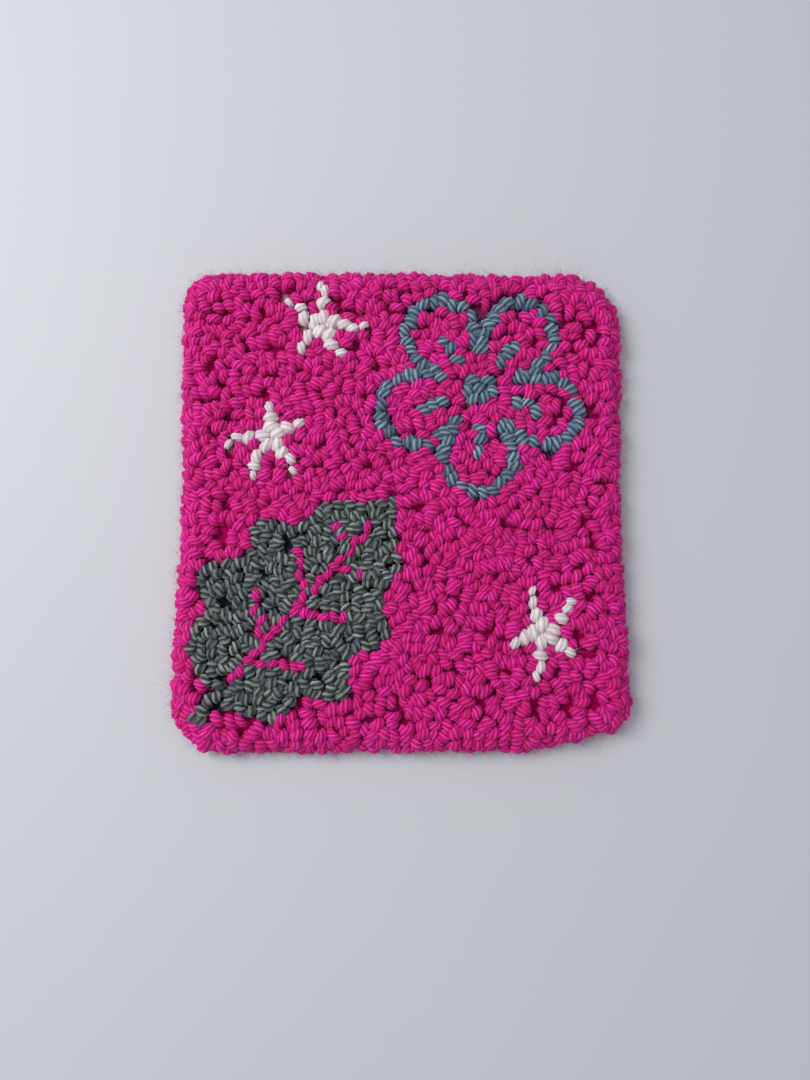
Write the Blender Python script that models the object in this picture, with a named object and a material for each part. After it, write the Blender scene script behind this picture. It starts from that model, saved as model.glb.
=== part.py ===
"""A small punch needle rug: one flat, lumpy slab of looped wool pile on its punched cloth.

The rug lies on a table with its flat back down. Its back is the plane z = 0, and the
middle of its outer box is the origin. X runs across the rug and Y towards its far edge.
Lengths are in metres.
"""

import math
from typing import NamedTuple

import bmesh
import bpy
from mathutils import Vector, noise

MM = 0.001

# Driving sizes of the finished rug
RUG_WIDTH = 150 * MM
RUG_LENGTH = 162 * MM
RUG_THICKNESS = 10.5 * MM

# How the outer loops splay out and turn down to the table
SHOULDER_REACH = 9 * MM
WIDEST_HEIGHT = 3.6 * MM
TUCK_UNDER = 1.3 * MM
SHOULDER_SHARE = 5 / 7

# Lumps of the looped pile, each a small knot of neighbouring loops
LUMP_PITCH = 8.8 * MM
LUMP_DEPTH = 1.4 * MM
RIM_LUMP_REACH = 1.2 * MM
LUMP_WANDER = 2.6 * MM
WANDER_SCALE = 14 * MM
LUMP_TURN = math.radians(17)

# Slow unevenness of the hand-punched surface
SWELL_HEIGHT = 0.6 * MM
SWELL_SCALE = 38 * MM

# Mesh of the pile surface
CELLS_ACROSS = 60
CELLS_ALONG = 65
RIM_RINGS = 7
ARC_STEPS = 12
SIDE_STEPS = 24

WOOL_PINK = (0.78, 0.0, 0.30, 1.0)
WOOL_ROUGHNESS = 0.92


class Corner(NamedTuple):
    """A corner or bend of the outline, which is as uneven as the hand-made rug."""

    x: float
    y: float
    radius: float
    bow_after: float  # how far the side that follows bulges out, or in if negative
    is_bend: bool = False  # a bend within the near side, and no corner of its own


CORNERS = (
    Corner(x=-73.4 * MM, y=-79.8 * MM, radius=18 * MM, bow_after=-0.2 * MM),
    Corner(x=45.4 * MM, y=-79.2 * MM, radius=98 * MM, bow_after=0, is_bend=True),
    Corner(x=74.6 * MM, y=-70.7 * MM, radius=9 * MM, bow_after=-1.3 * MM),
    Corner(x=74.6 * MM, y=79.6 * MM, radius=19 * MM, bow_after=0.4 * MM),
    Corner(x=-73.6 * MM, y=80.9 * MM, radius=12.5 * MM, bow_after=-1.5 * MM),
)


def clear_scene():
    """Removes every object of the startup scene."""
    for obj in list(bpy.data.objects):
        bpy.data.objects.remove(obj, do_unlink=True)


def corner_arc(index):
    """Points round one corner, from the side before it to the side after it."""
    corner, before, after = (CORNERS[(index + step) % len(CORNERS)] for step in (0, -1, 1))
    here = Vector((corner.x, corner.y))
    to_before = (Vector((before.x, before.y)) - here).normalized()
    to_after = (Vector((after.x, after.y)) - here).normalized()
    half_angle = to_before.angle(to_after) / 2
    centre = here + (to_before + to_after).normalized() * corner.radius / math.sin(half_angle)
    spoke = here + to_before * corner.radius / math.tan(half_angle) - centre
    sweep = math.pi - 2 * half_angle
    arc = []
    for step in range(ARC_STEPS + 1):
        angle = sweep * step / ARC_STEPS
        arc.append(centre + Vector((
            spoke.x * math.cos(angle) - spoke.y * math.sin(angle),
            spoke.x * math.sin(angle) + spoke.y * math.cos(angle),
        )))
    return arc


def bowed_side(start, end, bow):
    """Points between two corners on a side that bulges out by bow at its middle."""
    along = end - start
    outward = Vector((along.y, -along.x)).normalized()
    shares = [step / SIDE_STEPS for step in range(1, SIDE_STEPS)]
    return [start + along * share + outward * bow * math.sin(math.pi * share) ** 2 for share in shares]


def rug_sides():
    """The outline at the rug's widest height as four lines of points: near, right, far, left."""
    arcs = [corner_arc(index) for index in range(len(CORNERS))]
    half_arc = ARC_STEPS // 2
    sides = []
    for index, arc in enumerate(arcs):
        if CORNERS[index].is_bend:
            sides[-1] += arc
        else:
            sides.append(arc[half_arc:])
        next_arc = arcs[(index + 1) % len(arcs)]
        sides[-1] += bowed_side(arc[-1], next_arc[0], CORNERS[index].bow_after)
        if not CORNERS[(index + 1) % len(arcs)].is_bend:
            sides[-1] += next_arc[: half_arc + 1]
    return sides


def point_at_share(points, share):
    """The point at a share of the length of a line of points."""
    steps = [(end - start).length for start, end in zip(points, points[1:])]
    wanted = share * sum(steps)
    for start, end, step in zip(points, points[1:], steps):
        if wanted <= step:
            return start.lerp(end, wanted / step)
        wanted -= step
    return points[-1].copy()


def outline_point(sides, u, v):
    """The outline's point for a point on the border of the square from -1 to 1."""
    if v == -1:
        return point_at_share(sides[0], (1 + u) / 2)
    if u == 1:
        return point_at_share(sides[1], (1 + v) / 2)
    if v == 1:
        return point_at_share(sides[2], (1 - u) / 2)
    return point_at_share(sides[3], (1 - v) / 2)


def lump_height(x, y):
    """From 0 in a hollow between loops to 1 on top of a lump, in a wandering honeycomb."""
    place = Vector((x, y, 0)) / WANDER_SCALE
    x += LUMP_WANDER * noise.noise(place)
    y += LUMP_WANDER * noise.noise(place + Vector((31, 17, 5)))
    row_pitch = LUMP_PITCH * math.cos(math.pi / 6)
    waves = 0.0
    for third in range(3):
        angle = LUMP_TURN + third * math.pi / 3
        across = x * math.cos(angle) + y * math.sin(angle)
        waves += math.cos(2 * math.pi * across / row_pitch)
    return (waves + 1.5) / 4.5


def top_height(x, y):
    """Height of the pile over a point well inside the rim."""
    swell = SWELL_HEIGHT * noise.noise(Vector((x, y, 0)) / SWELL_SCALE)
    return RUG_THICKNESS + swell - LUMP_DEPTH * (1 - lump_height(x, y))


def rim_profile(share):
    """(reach, height share) of the rim at a share of its way from the top to the table."""
    widest = WIDEST_HEIGHT / RUG_THICKNESS
    if share <= SHOULDER_SHARE:
        angle = math.pi / 2 * share / SHOULDER_SHARE
        return SHOULDER_REACH * math.sin(angle), widest + (1 - widest) * math.cos(angle)
    down = (share - SHOULDER_SHARE) / (1 - SHOULDER_SHARE)
    return SHOULDER_REACH - TUCK_UNDER * down**2, widest * (1 - down)


def pile_point(sides, u, v, rim_share):
    """Where a point of the square from -1 to 1 lies on the pile, or below it on the rim."""
    ring = max(abs(u), abs(v))
    if ring == 0:
        return Vector((0, 0, top_height(0, 0)))
    edge = outline_point(sides, u / ring, v / ring)
    outward = edge.normalized()
    place = (edge - outward * SHOULDER_REACH) * ring
    height = top_height(place.x, place.y)
    reach, height_share = rim_profile(rim_share)
    hollow = (1 - lump_height(edge.x, edge.y)) * rim_share
    place += outward * (reach - RIM_LUMP_REACH * hollow)
    return Vector((place.x, place.y, height * height_share))


def add_rim(shaped):
    """Carries the border of the flat grid on through the rings of the rim, marked by their height."""
    for _ in range(RIM_RINGS):
        border = [edge for edge in shaped.edges if edge.is_boundary]
        made = bmesh.ops.extrude_edge_only(shaped, edges=border)
        ring = [item for item in made["geom"] if isinstance(item, bmesh.types.BMVert)]
        bmesh.ops.translate(shaped, verts=ring, vec=(0, 0, 1 / RIM_RINGS))


def shape_pile(mesh):
    """Moves a flat grid and its rim onto the pile, and closes the back with one flat face."""
    sides = rug_sides()
    shaped = bmesh.new()
    shaped.from_mesh(mesh)
    add_rim(shaped)
    for vertex in shaped.verts:
        vertex.co = pile_point(sides, *vertex.co)
    back_edges = [edge for edge in shaped.edges if edge.is_boundary]
    bmesh.ops.contextual_create(shaped, geom=back_edges)
    bmesh.ops.recalc_face_normals(shaped, faces=shaped.faces)
    shaped.to_mesh(mesh)
    shaped.free()


def settle(mesh):
    """Puts the middle of the outer box over the origin and gives the rug its driving sizes."""
    for axis, size in enumerate((RUG_WIDTH, RUG_LENGTH, RUG_THICKNESS)):
        places = [vertex.co[axis] for vertex in mesh.vertices]
        low, high = min(places), max(places)
        middle = (low + high) / 2 if axis < 2 else 0
        for vertex in mesh.vertices:
            vertex.co[axis] = (vertex.co[axis] - middle) * size / (high - low)


def wool_material():
    """Matt wool in the ground colour of the rug."""
    material = bpy.data.materials.new("pink_wool")
    material.use_nodes = True
    shader = material.node_tree.nodes["Principled BSDF"]
    shader.inputs["Base Color"].default_value = WOOL_PINK
    shader.inputs["Roughness"].default_value = WOOL_ROUGHNESS
    shader.inputs["Metallic"].default_value = 0.0
    return material


def build_rug():
    """The rug's one solid, shaped from a flat grid."""
    bpy.ops.mesh.primitive_grid_add(
        x_subdivisions=CELLS_ACROSS, y_subdivisions=CELLS_ALONG, size=2
    )
    rug = bpy.context.object
    rug.name = "rug"
    shape_pile(rug.data)
    settle(rug.data)
    rug.data.shade_smooth()
    rug.data.materials.append(wool_material())
    return rug


def main():
    """Clears the scene and builds the rug in its own collection."""
    clear_scene()
    collection = bpy.data.collections.new("punch_needle_rug")
    bpy.context.scene.collection.children.link(collection)
    rug = build_rug()
    for holder in list(rug.users_collection):
        holder.objects.unlink(rug)
    collection.objects.link(rug)


main()
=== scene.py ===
"""The looks of a small punch needle rug: looped wool pile on a punched foundation cloth.

Every loop of yarn is its own twisted tube. The loops are laid out in rows round the rim, along
the motifs and over the ground, then settled against each other as real loops are, so that
they lean, turn and press together. The foundation cloth, its turned hem and the flat back
stitches lie underneath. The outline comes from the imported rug, and lengths are in metres.
"""

import logging
import math
from dataclasses import dataclass, field, replace
from enum import Enum

import bpy
import numpy as np
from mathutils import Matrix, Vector
from numpy.typing import NDArray


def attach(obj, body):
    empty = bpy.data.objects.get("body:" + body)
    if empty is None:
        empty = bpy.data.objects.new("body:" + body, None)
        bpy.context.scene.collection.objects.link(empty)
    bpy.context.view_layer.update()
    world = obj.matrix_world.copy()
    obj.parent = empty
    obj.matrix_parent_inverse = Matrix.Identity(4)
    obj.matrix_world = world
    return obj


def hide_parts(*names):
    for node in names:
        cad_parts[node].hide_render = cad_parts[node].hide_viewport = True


Array = NDArray[np.float64]
Whole = NDArray[np.int64]

LOG = logging.getLogger("punch_needle_rug")
MM = 0.001
SEED = 41
NODE = "rug"
BODY = "root"
BAKE_MAP = "OFBake"

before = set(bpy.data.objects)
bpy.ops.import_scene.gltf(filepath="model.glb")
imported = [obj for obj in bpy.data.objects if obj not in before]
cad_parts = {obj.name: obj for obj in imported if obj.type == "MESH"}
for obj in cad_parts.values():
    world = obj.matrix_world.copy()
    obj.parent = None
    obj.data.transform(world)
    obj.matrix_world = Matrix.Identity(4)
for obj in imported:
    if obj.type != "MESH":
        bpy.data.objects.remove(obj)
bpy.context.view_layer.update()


class Wool(Enum):
    """The yarns and the cloth that the rug is made of, by the name of their material slot."""

    PINK = "pink_wool"
    WHITE = "white_wool"
    BLUE = "steel_blue_wool"
    HEATHER = "heather_green_wool"


WOOLS = tuple(Wool)


# Small helpers for arrays of vectors


def unit(vectors: Array) -> Array:
    """Each vector of the last axis, scaled to length one."""
    return vectors / np.maximum(np.linalg.norm(vectors, axis=-1, keepdims=True), 1e-12)


def square_to(vectors: Array, axes: Array) -> Array:
    """Unit vectors: each vector less its share along its axis, so that the two are square."""
    return unit(vectors - np.sum(vectors * axes, axis=-1, keepdims=True) * axes)


def flat_direction(angle: Array) -> Array:
    """Unit vectors (cos, sin, 0) for angles in the plane of the rug."""
    return np.stack([np.cos(angle), np.sin(angle), np.zeros_like(angle)], axis=-1)


def soft_noise(points: Array, size: float, seed: int, waves: int = 9) -> Array:
    """Smooth noise from about -1 to 1: a sum of cosines of random direction and phase.

    Args:
        points: places in the plane, shape (n, 2).
        size: the usual distance from one swell to the next.
        seed: picks the waves.
        waves: how many cosines are summed.

    Returns:
        One value for each place.
    """
    rng = np.random.default_rng(seed)
    turn = rng.uniform(0, 2 * math.pi, waves)
    rate = 2 * math.pi / (size * rng.uniform(0.7, 1.6, waves))
    wave = np.stack([np.cos(turn), np.sin(turn)]) * rate
    phase = rng.uniform(0, 2 * math.pi, waves)
    return np.cos(points @ wave + phase).sum(axis=1) * math.sqrt(2 / waves)


# Outline of the rug


@dataclass
class RugShape:
    """The rug's outline and thickness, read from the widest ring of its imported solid.

    The outline is kept as points at even steps of its length, with outward directions that
    are averaged over a few millimetres so that the small lumps of the rim don't turn them.
    """

    low: float = 2.6 * MM
    high: float = 4.6 * MM
    steps: int = 720
    smoothing: float = 7 * MM
    inner_inset: float = 6 * MM
    outline: Array = field(init=False)
    outward: Array = field(init=False)
    perimeter: float = field(init=False)
    thickness: float = field(init=False)

    def __post_init__(self) -> None:
        """Reads the solid and works out the outline."""
        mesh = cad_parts[NODE].data
        places = np.zeros(len(mesh.vertices) * 3, np.float32)
        mesh.vertices.foreach_get("co", places)
        places = places.reshape(-1, 3).astype(float)
        self.thickness = float(places[:, 2].max())
        ring = places[(places[:, 2] > self.low) & (places[:, 2] < self.high)]
        angle = np.round(np.arctan2(ring[:, 1], ring[:, 0]), 5)
        reach = np.hypot(ring[:, 0], ring[:, 1])
        angle, first = np.unique(angle, return_index=True)
        reach = reach[first]
        even = np.linspace(-math.pi, math.pi, 4 * self.steps, endpoint=False)
        radius = np.interp(even, angle, reach, period=2 * math.pi)
        dense = radius[:, None] * np.stack([np.cos(even), np.sin(even)], axis=1)
        self.outline, self.perimeter = self._at_even_steps(dense)
        self.outward = self._outward_directions()

    def _at_even_steps(self, dense: Array) -> tuple[Array, float]:
        """The closed line again, with points at even steps of its length, and that length."""
        closed = np.vstack([dense, dense[:1]])
        travelled = np.concatenate([[0], np.cumsum(np.linalg.norm(np.diff(closed, axis=0), axis=1))])
        wanted = np.linspace(0, travelled[-1], self.steps, endpoint=False)
        line = np.stack([np.interp(wanted, travelled, closed[:, axis]) for axis in (0, 1)], axis=1)
        return line, float(travelled[-1])

    def _outward_directions(self) -> Array:
        """Normals of the outline: its tangent over the smoothing length, turned outward."""
        window = max(1, round(self.smoothing / self.perimeter * self.steps))
        along = np.zeros_like(self.outline)
        for step in range(1, window + 1):
            along += np.roll(self.outline, -step, axis=0) - np.roll(self.outline, step, axis=0)
        return unit(np.stack([along[:, 1], -along[:, 0]], axis=1))

    def place(self, share: Array, inset: Array | float) -> tuple[Array, Array]:
        """Points at a share of the way round the outline, moved inward by the inset.

        Args:
            share: from 0 to 1 round the outline, shape (n,).
            inset: distance inward, one for all or shape (n,).

        Returns:
            The points and the outward directions there, both of shape (n, 2).
        """
        index = np.mod(share, 1) * self.steps
        grid = np.arange(self.steps + 1)
        point = [np.interp(index, grid, np.append(self.outline[:, a], self.outline[0, a])) for a in (0, 1)]
        out = [np.interp(index, grid, np.append(self.outward[:, a], self.outward[0, a])) for a in (0, 1)]
        outward = unit(np.stack(out, axis=1))
        return np.stack(point, axis=1) - outward * np.reshape(inset, (-1, 1)), outward

    def inset_of(self, points: Array) -> tuple[Array, Array]:
        """How far each inner point is from the outline, and the outward direction nearest to it."""
        gaps = np.linalg.norm(points[:, None, :] - self.outline[None, ::2, :], axis=2)
        nearest = gaps.argmin(axis=1)
        outward = self.outward[::2][nearest]
        inside = np.sum((self.outline[::2][nearest] - points) * outward, axis=1) > 0
        return np.where(inside, 1, -1) * gaps.min(axis=1), outward

    def ring(self, inset: float, around: int) -> Array:
        """A closed ring of points inside the outline, which shrinks to the middle past inner_inset.

        The ring is the outline less inset times its outward direction. Past inner_inset it is
        the last such ring scaled towards the middle, so that rings never cross themselves.
        """
        share = np.arange(around) / around
        held = min(inset, self.inner_inset)
        points, _ = self.place(share, held)
        reach = float(np.abs(self.outline[:, 0]).max())
        scale = max(0.0, (reach - inset) / (reach - held))
        return points * scale


# Meshes from arrays


@dataclass
class Skin:
    """Points and faces of a mesh as whole arrays, with its attributes and its bake map."""

    points: Array
    faces: list[Whole]
    values: dict[str, Array] = field(default_factory=dict)
    vectors: dict[str, Array] = field(default_factory=dict)
    colours: dict[str, Array] = field(default_factory=dict)
    cells: list[Array] = field(default_factory=list)

    def make(self, name: str) -> bpy.types.Object:
        """Puts the arrays into a new mesh object at the origin.

        Args:
            name: the piece's name.

        Returns:
            The object, linked to the scene.
        """
        mesh = bpy.data.meshes.new(name)
        corners = np.concatenate([faces.ravel() for faces in self.faces])
        sizes = np.concatenate([np.full(len(faces), faces.shape[1]) for faces in self.faces])
        starts = np.concatenate([[0], np.cumsum(sizes)[:-1]])
        mesh.vertices.add(len(self.points))
        mesh.vertices.foreach_set("co", self.points.astype(np.float32).ravel())
        mesh.loops.add(len(corners))
        mesh.loops.foreach_set("vertex_index", corners.astype(np.int32))
        mesh.polygons.add(len(sizes))
        mesh.polygons.foreach_set("loop_start", starts.astype(np.int32))
        mesh.update(calc_edges=True)
        mesh.shade_smooth()
        for key, value in self.values.items():
            mesh.attributes.new(key, "FLOAT", "POINT").data.foreach_set("value", value.astype(np.float32).ravel())
        for key, value in self.vectors.items():
            data = mesh.attributes.new(key, "FLOAT_VECTOR", "POINT").data
            data.foreach_set("vector", value.astype(np.float32).ravel())
        for key, value in self.colours.items():
            data = mesh.attributes.new(key, "FLOAT_COLOR", "POINT").data
            data.foreach_set("color", value.astype(np.float32).ravel())
        if self.cells:
            chart = mesh.uv_layers.new(name=BAKE_MAP)
            places = np.concatenate([cells.reshape(-1, 2) for cells in self.cells])
            chart.data.foreach_set("uv", places.astype(np.float32).ravel())
        mesh.validate()
        piece = bpy.data.objects.new(name, mesh)
        bpy.context.scene.collection.objects.link(piece)
        return piece


@dataclass(frozen=True)
class Yarn:
    """How a yarn is spun: its thickness, its plies and how hard they are twisted."""

    radius: float
    lobe: float
    lead: float
    spacing: float
    flatness: float = 0.86
    columns: int = 8


YARNS: dict[Wool, Yarn] = {
    Wool.PINK: Yarn(radius=1.55 * MM, lobe=0.15, lead=6.4 * MM, spacing=3.6 * MM, columns=10),
    Wool.WHITE: Yarn(radius=1.6 * MM, lobe=0.10, lead=16.0 * MM, spacing=3.2 * MM, columns=10),
    Wool.BLUE: Yarn(radius=1.58 * MM, lobe=0.16, lead=6.4 * MM, spacing=3.5 * MM),
    Wool.HEATHER: Yarn(radius=1.4 * MM, lobe=0.19, lead=5.4 * MM, spacing=3.05 * MM, columns=6),
}


@dataclass
class YarnTubes:
    """Many short lengths of plied yarn, each carried along its own centre line.

    A tube's section is an oval whose radius is larger on the even columns of points and
    smaller on the odd ones, which gives the plies. The section turns once in each lead, and
    the columns turn with it, so that every column stays on its ply or in its groove.
    """

    centre: Array  # (tubes, rings, 3)
    across: Array  # (tubes, 3), square to the plane that each line bends in
    radius: Array  # (tubes, rings)
    phase: Array  # (tubes,)
    tone: Array  # (tubes,)
    depth: Array  # (tubes, rings), 0 at the cloth and 1 at the top of the pile
    yarn: Yarn

    def _frames(self) -> tuple[Array, Array]:
        """In-plane normals of the centre lines, and the length travelled from their middles."""
        tangent = unit(np.gradient(self.centre, axis=1))
        over = unit(np.cross(tangent, self.across[:, None, :]))
        steps = np.linalg.norm(np.diff(self.centre, axis=1), axis=2)
        travelled = np.concatenate([np.zeros((len(steps), 1)), np.cumsum(steps, axis=1)], axis=1)
        return over, travelled - travelled[:, -1:] / 2

    def _faces(self) -> list[Whole]:
        """Quads whose first diagonal follows the twist, and a cap on either end."""
        tubes, rings = self.radius.shape
        columns = self.yarn.columns
        column, ring = np.meshgrid(np.arange(columns), np.arange(rings - 1))
        after = (column + 1) % columns
        low, high = ring * columns, (ring + 1) * columns
        quad = np.stack([low + column, low + after, high + after, high + column], axis=-1).reshape(-1, 4)
        first = np.arange(columns)[::-1]
        last = (rings - 1) * columns + np.arange(columns)
        start = np.arange(tubes)[:, None] * rings * columns
        sides = (start[:, :, None] + quad[None]).reshape(-1, 4)
        caps = np.concatenate([start + first, start + last])
        return [sides, caps]

    def _cells(self) -> list[Array]:
        """A square of the bake map for each tube: its sides below, its two caps above."""
        tubes, rings = self.radius.shape
        columns = self.yarn.columns
        across = math.ceil(math.sqrt(tubes))
        corner = np.stack(np.divmod(np.arange(tubes), across), axis=1)[:, ::-1] / across
        column, ring = np.meshgrid(np.arange(columns), np.arange(rings - 1))
        u = np.stack([column, column + 1, column + 1, column], axis=-1) / columns
        v = np.stack([ring, ring, ring + 1, ring + 1], axis=-1) / (rings - 1)
        sides = np.stack([0.04 + 0.92 * u, 0.04 + 0.78 * v], axis=-1).reshape(-1, 4, 2) / across
        turn = 2 * math.pi * np.arange(columns) / columns
        disc = 0.06 * np.stack([np.cos(turn), np.sin(turn)], axis=1)
        first = (disc[::-1] + (0.25, 0.91)) / across
        last = (disc + (0.75, 0.91)) / across
        side_cells = (corner[:, None, None, :] + sides[None]).reshape(-1, 4, 2)
        caps = np.concatenate([corner[:, None, :] + first, corner[:, None, :] + last])
        return [side_cells, caps]

    def skin(self) -> Skin:
        """The mesh arrays of all the tubes.

        A point is centre + radius * lobe * (cos(a) * across + flatness * sin(a) * over), where
        a is the column's angle less a full turn for each lead travelled, as wool is plied.
        """
        over, travelled = self._frames()
        columns = self.yarn.columns
        column_angle = 2 * math.pi * np.arange(columns) / columns
        ply = (np.arange(columns) % 2 == 0).astype(float)
        angle = column_angle + (self.phase[:, None] - 2 * math.pi * travelled / self.yarn.lead)[..., None]
        unevenness = np.random.default_rng(self.centre.size).normal(0, self.yarn.lobe / 4, angle.shape)
        size = self.radius[..., None] * (1 + self.yarn.lobe * (2 * ply - 1) + unevenness)
        sideways = (size * np.cos(angle))[..., None] * self.across[:, None, None, :]
        upward = (self.yarn.flatness * size * np.sin(angle))[..., None] * over[:, :, None, :]
        points = self.centre[:, :, None, :] + sideways + upward
        shape = points.shape[:3]
        strand = np.stack(
            [
                np.broadcast_to(np.cos(column_angle), shape),
                np.broadcast_to(np.sin(column_angle), shape),
                np.broadcast_to((travelled / MM + 37 * self.phase[:, None])[..., None], shape),
            ],
            axis=-1,
        )
        return Skin(
            points=points.reshape(-1, 3),
            faces=self._faces(),
            values={
                "ply": np.broadcast_to(ply, shape),
                "tone": np.broadcast_to(self.tone[:, None, None], shape),
                "depth": np.broadcast_to(self.depth[..., None], shape),
            },
            vectors={"strand": strand},
            cells=self._cells(),
        )


# Rows of loops


@dataclass
class Loops:
    """Loops of yarn that stand in the cloth, as arrays with one entry for each loop.

    root is the middle of the loop's foot, aim the direction from there to its crown, reach
    the distance to the outside of the crown, heading the direction that the arch spans,
    width the arch's width at the middle of its yarn, and wool an index into WOOLS. hold is
    how firmly a loop keeps its place when the pile settles.
    """

    root: Array
    aim: Array
    heading: Array
    reach: Array
    width: Array
    radius: Array
    wool: Whole
    hold: Array

    def __len__(self) -> int:
        """How many loops there are."""
        return len(self.root)

    def pick(self, chosen: Array) -> "Loops":
        """The chosen loops alone."""
        return Loops(*(getattr(self, name)[chosen] for name in self.__dataclass_fields__))

    @staticmethod
    def joined(groups: list["Loops"]) -> "Loops":
        """All the groups' loops in one."""
        names = Loops.__dataclass_fields__
        return Loops(*(np.concatenate([getattr(group, name) for group in groups]) for name in names))

    def crown(self) -> Array:
        """The middle of the yarn at the top of each loop."""
        return self.root + self.aim * (self.reach - self.radius)[:, None]

    def tubes(self, yarn: Yarn, rng: np.random.Generator) -> YarnTubes:
        """The loops as arches of yarn.

        The centre line is an arch. Its head is half an oval, width/2 * sin(t) along the heading
        and rise * cos(t) along the aim, for t from -90 to 90 degrees, with one shoulder a
        little higher than the other. Straight legs join its ends to two feet a little apart
        at the root.

        Args:
            yarn: the yarn that the loops are made of.
            rng: gives each loop its own twist, slant and tone.

        Returns:
            The tubes, ready to become a mesh.
        """
        head = np.radians([-90, -60, -33, -8, 18, 42, 66, 90])
        rise = 0.36 * self.width + 0.75 * MM
        side = self.width[:, None] / 2 * np.sin(head)
        up = (self.reach - self.radius * yarn.flatness - rise)[:, None] + rise[:, None] * np.cos(head)
        up += rng.normal(0, 0.14, (len(self), 1)) * side - 0.1 * MM
        foot = np.full((len(self), 1), 0.75 * MM)
        level = np.zeros((len(self), 1))
        side = np.concatenate([-foot, side, foot], axis=1)
        up = np.concatenate([level, up, level], axis=1)
        centre = (
            self.root[:, None, :]
            + side[..., None] * self.heading[:, None, :]
            + up[..., None] * self.aim[:, None, :]
        )
        taper = np.array([0.62, 0.9, 1, 1.02, 1.03, 1.03, 1.02, 1, 0.9, 0.62])
        return YarnTubes(
            centre=centre,
            across=np.cross(self.aim, self.heading),
            radius=self.radius[:, None] * taper * rng.normal(1, 0.035, up.shape),
            phase=rng.uniform(0, 2 * math.pi, len(self)),
            tone=rng.uniform(0, 1, len(self)),
            depth=up / self.reach[:, None],
            yarn=yarn,
        )


@dataclass(frozen=True)
class RimCourse:
    """One course of loops round the rim: where they are rooted, and how far they lift and reach."""

    root_inset: float
    root_height: float
    lift: float
    reach: float
    pitch: float


RIM_COURSES = (
    RimCourse(root_inset=5.7 * MM, root_height=1.7 * MM, lift=1, reach=5.7 * MM, pitch=3.8 * MM),
    RimCourse(root_inset=6.2 * MM, root_height=1.8 * MM, lift=27, reach=6.6 * MM, pitch=3.9 * MM),
    RimCourse(root_inset=7.0 * MM, root_height=1.9 * MM, lift=50, reach=7.4 * MM, pitch=3.8 * MM),
    RimCourse(root_inset=8.3 * MM, root_height=1.9 * MM, lift=69, reach=8.0 * MM, pitch=3.7 * MM),
)


@dataclass
class Punches:
    """Where loops are punched through the cloth: places, row directions, sizes and wool.

    The fixed ones stay where the design puts them, and the others spread out between them.
    """

    places: Array
    heading: Array
    thickness: Array
    width: Array
    wool: Whole
    fixed: Array

    def __len__(self) -> int:
        """How many punches there are."""
        return len(self.places)

    @staticmethod
    def of(wool: Wool, places: Array, heading: Array, width: Array | float, thickness: Array | float = 1.0,
           fixed: bool = True) -> "Punches":
        """Punches of one wool, where a size or heading may be one for all or one for each."""
        count = len(places)
        return Punches(
            places=places,
            heading=np.broadcast_to(heading, count).astype(float),
            thickness=np.broadcast_to(thickness, count).astype(float),
            width=np.broadcast_to(width, count).astype(float),
            wool=np.full(count, WOOLS.index(wool)),
            fixed=np.full(count, fixed),
        )

    @staticmethod
    def joined(groups: list["Punches"]) -> "Punches":
        """All the groups' punches in one."""
        names = Punches.__dataclass_fields__
        return Punches(*(np.concatenate([getattr(group, name) for group in groups]) for name in names))

    def pick(self, chosen: Array) -> "Punches":
        """The chosen punches alone."""
        return Punches(*(getattr(self, name)[chosen] for name in self.__dataclass_fields__))

    def room(self) -> Array:
        """How far apart each one's neighbours should be, by its wool and thickness."""
        return np.array([YARNS[wool].spacing for wool in WOOLS])[self.wool] * self.thickness

    def clear_of(self, others: "Punches", share: float) -> "Punches":
        """The punches that keep at least a share of the usual distance from all the others."""
        gaps = np.linalg.norm(self.places[:, None, :] - others.places[None], axis=2)
        wanted = share * (self.room()[:, None] + others.room()[None]) / 2
        return self.pick((gaps > wanted).all(axis=1))


def along_line(line: Array, pitch: float) -> tuple[Array, Array]:
    """Places at even steps along a line of points, with the line's angle at each.

    Args:
        line: points of the line, shape (n, 2).
        pitch: the wanted step, which is stretched a little to fit the line.

    Returns:
        The places, shape (m, 2), and the angles, shape (m,).
    """
    travelled = np.concatenate([[0], np.cumsum(np.linalg.norm(np.diff(line, axis=0), axis=1))])
    count = max(2, round(travelled[-1] / pitch))
    wanted = (np.arange(count) + 0.5) * travelled[-1] / count
    places = np.stack([np.interp(wanted, travelled, line[:, axis]) for axis in (0, 1)], axis=1)
    ahead = np.stack([np.interp(wanted + 0.5 * MM, travelled, line[:, axis]) for axis in (0, 1)], axis=1)
    behind = np.stack([np.interp(wanted - 0.5 * MM, travelled, line[:, axis]) for axis in (0, 1)], axis=1)
    step = ahead - behind
    return places, np.arctan2(step[:, 1], step[:, 0])


def turned(angle: float) -> Array:
    """Unit vectors of a turned frame as rows: along it, and square to it on its left."""
    return np.array([[math.cos(angle), math.sin(angle)], [-math.sin(angle), math.cos(angle)]])


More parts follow.
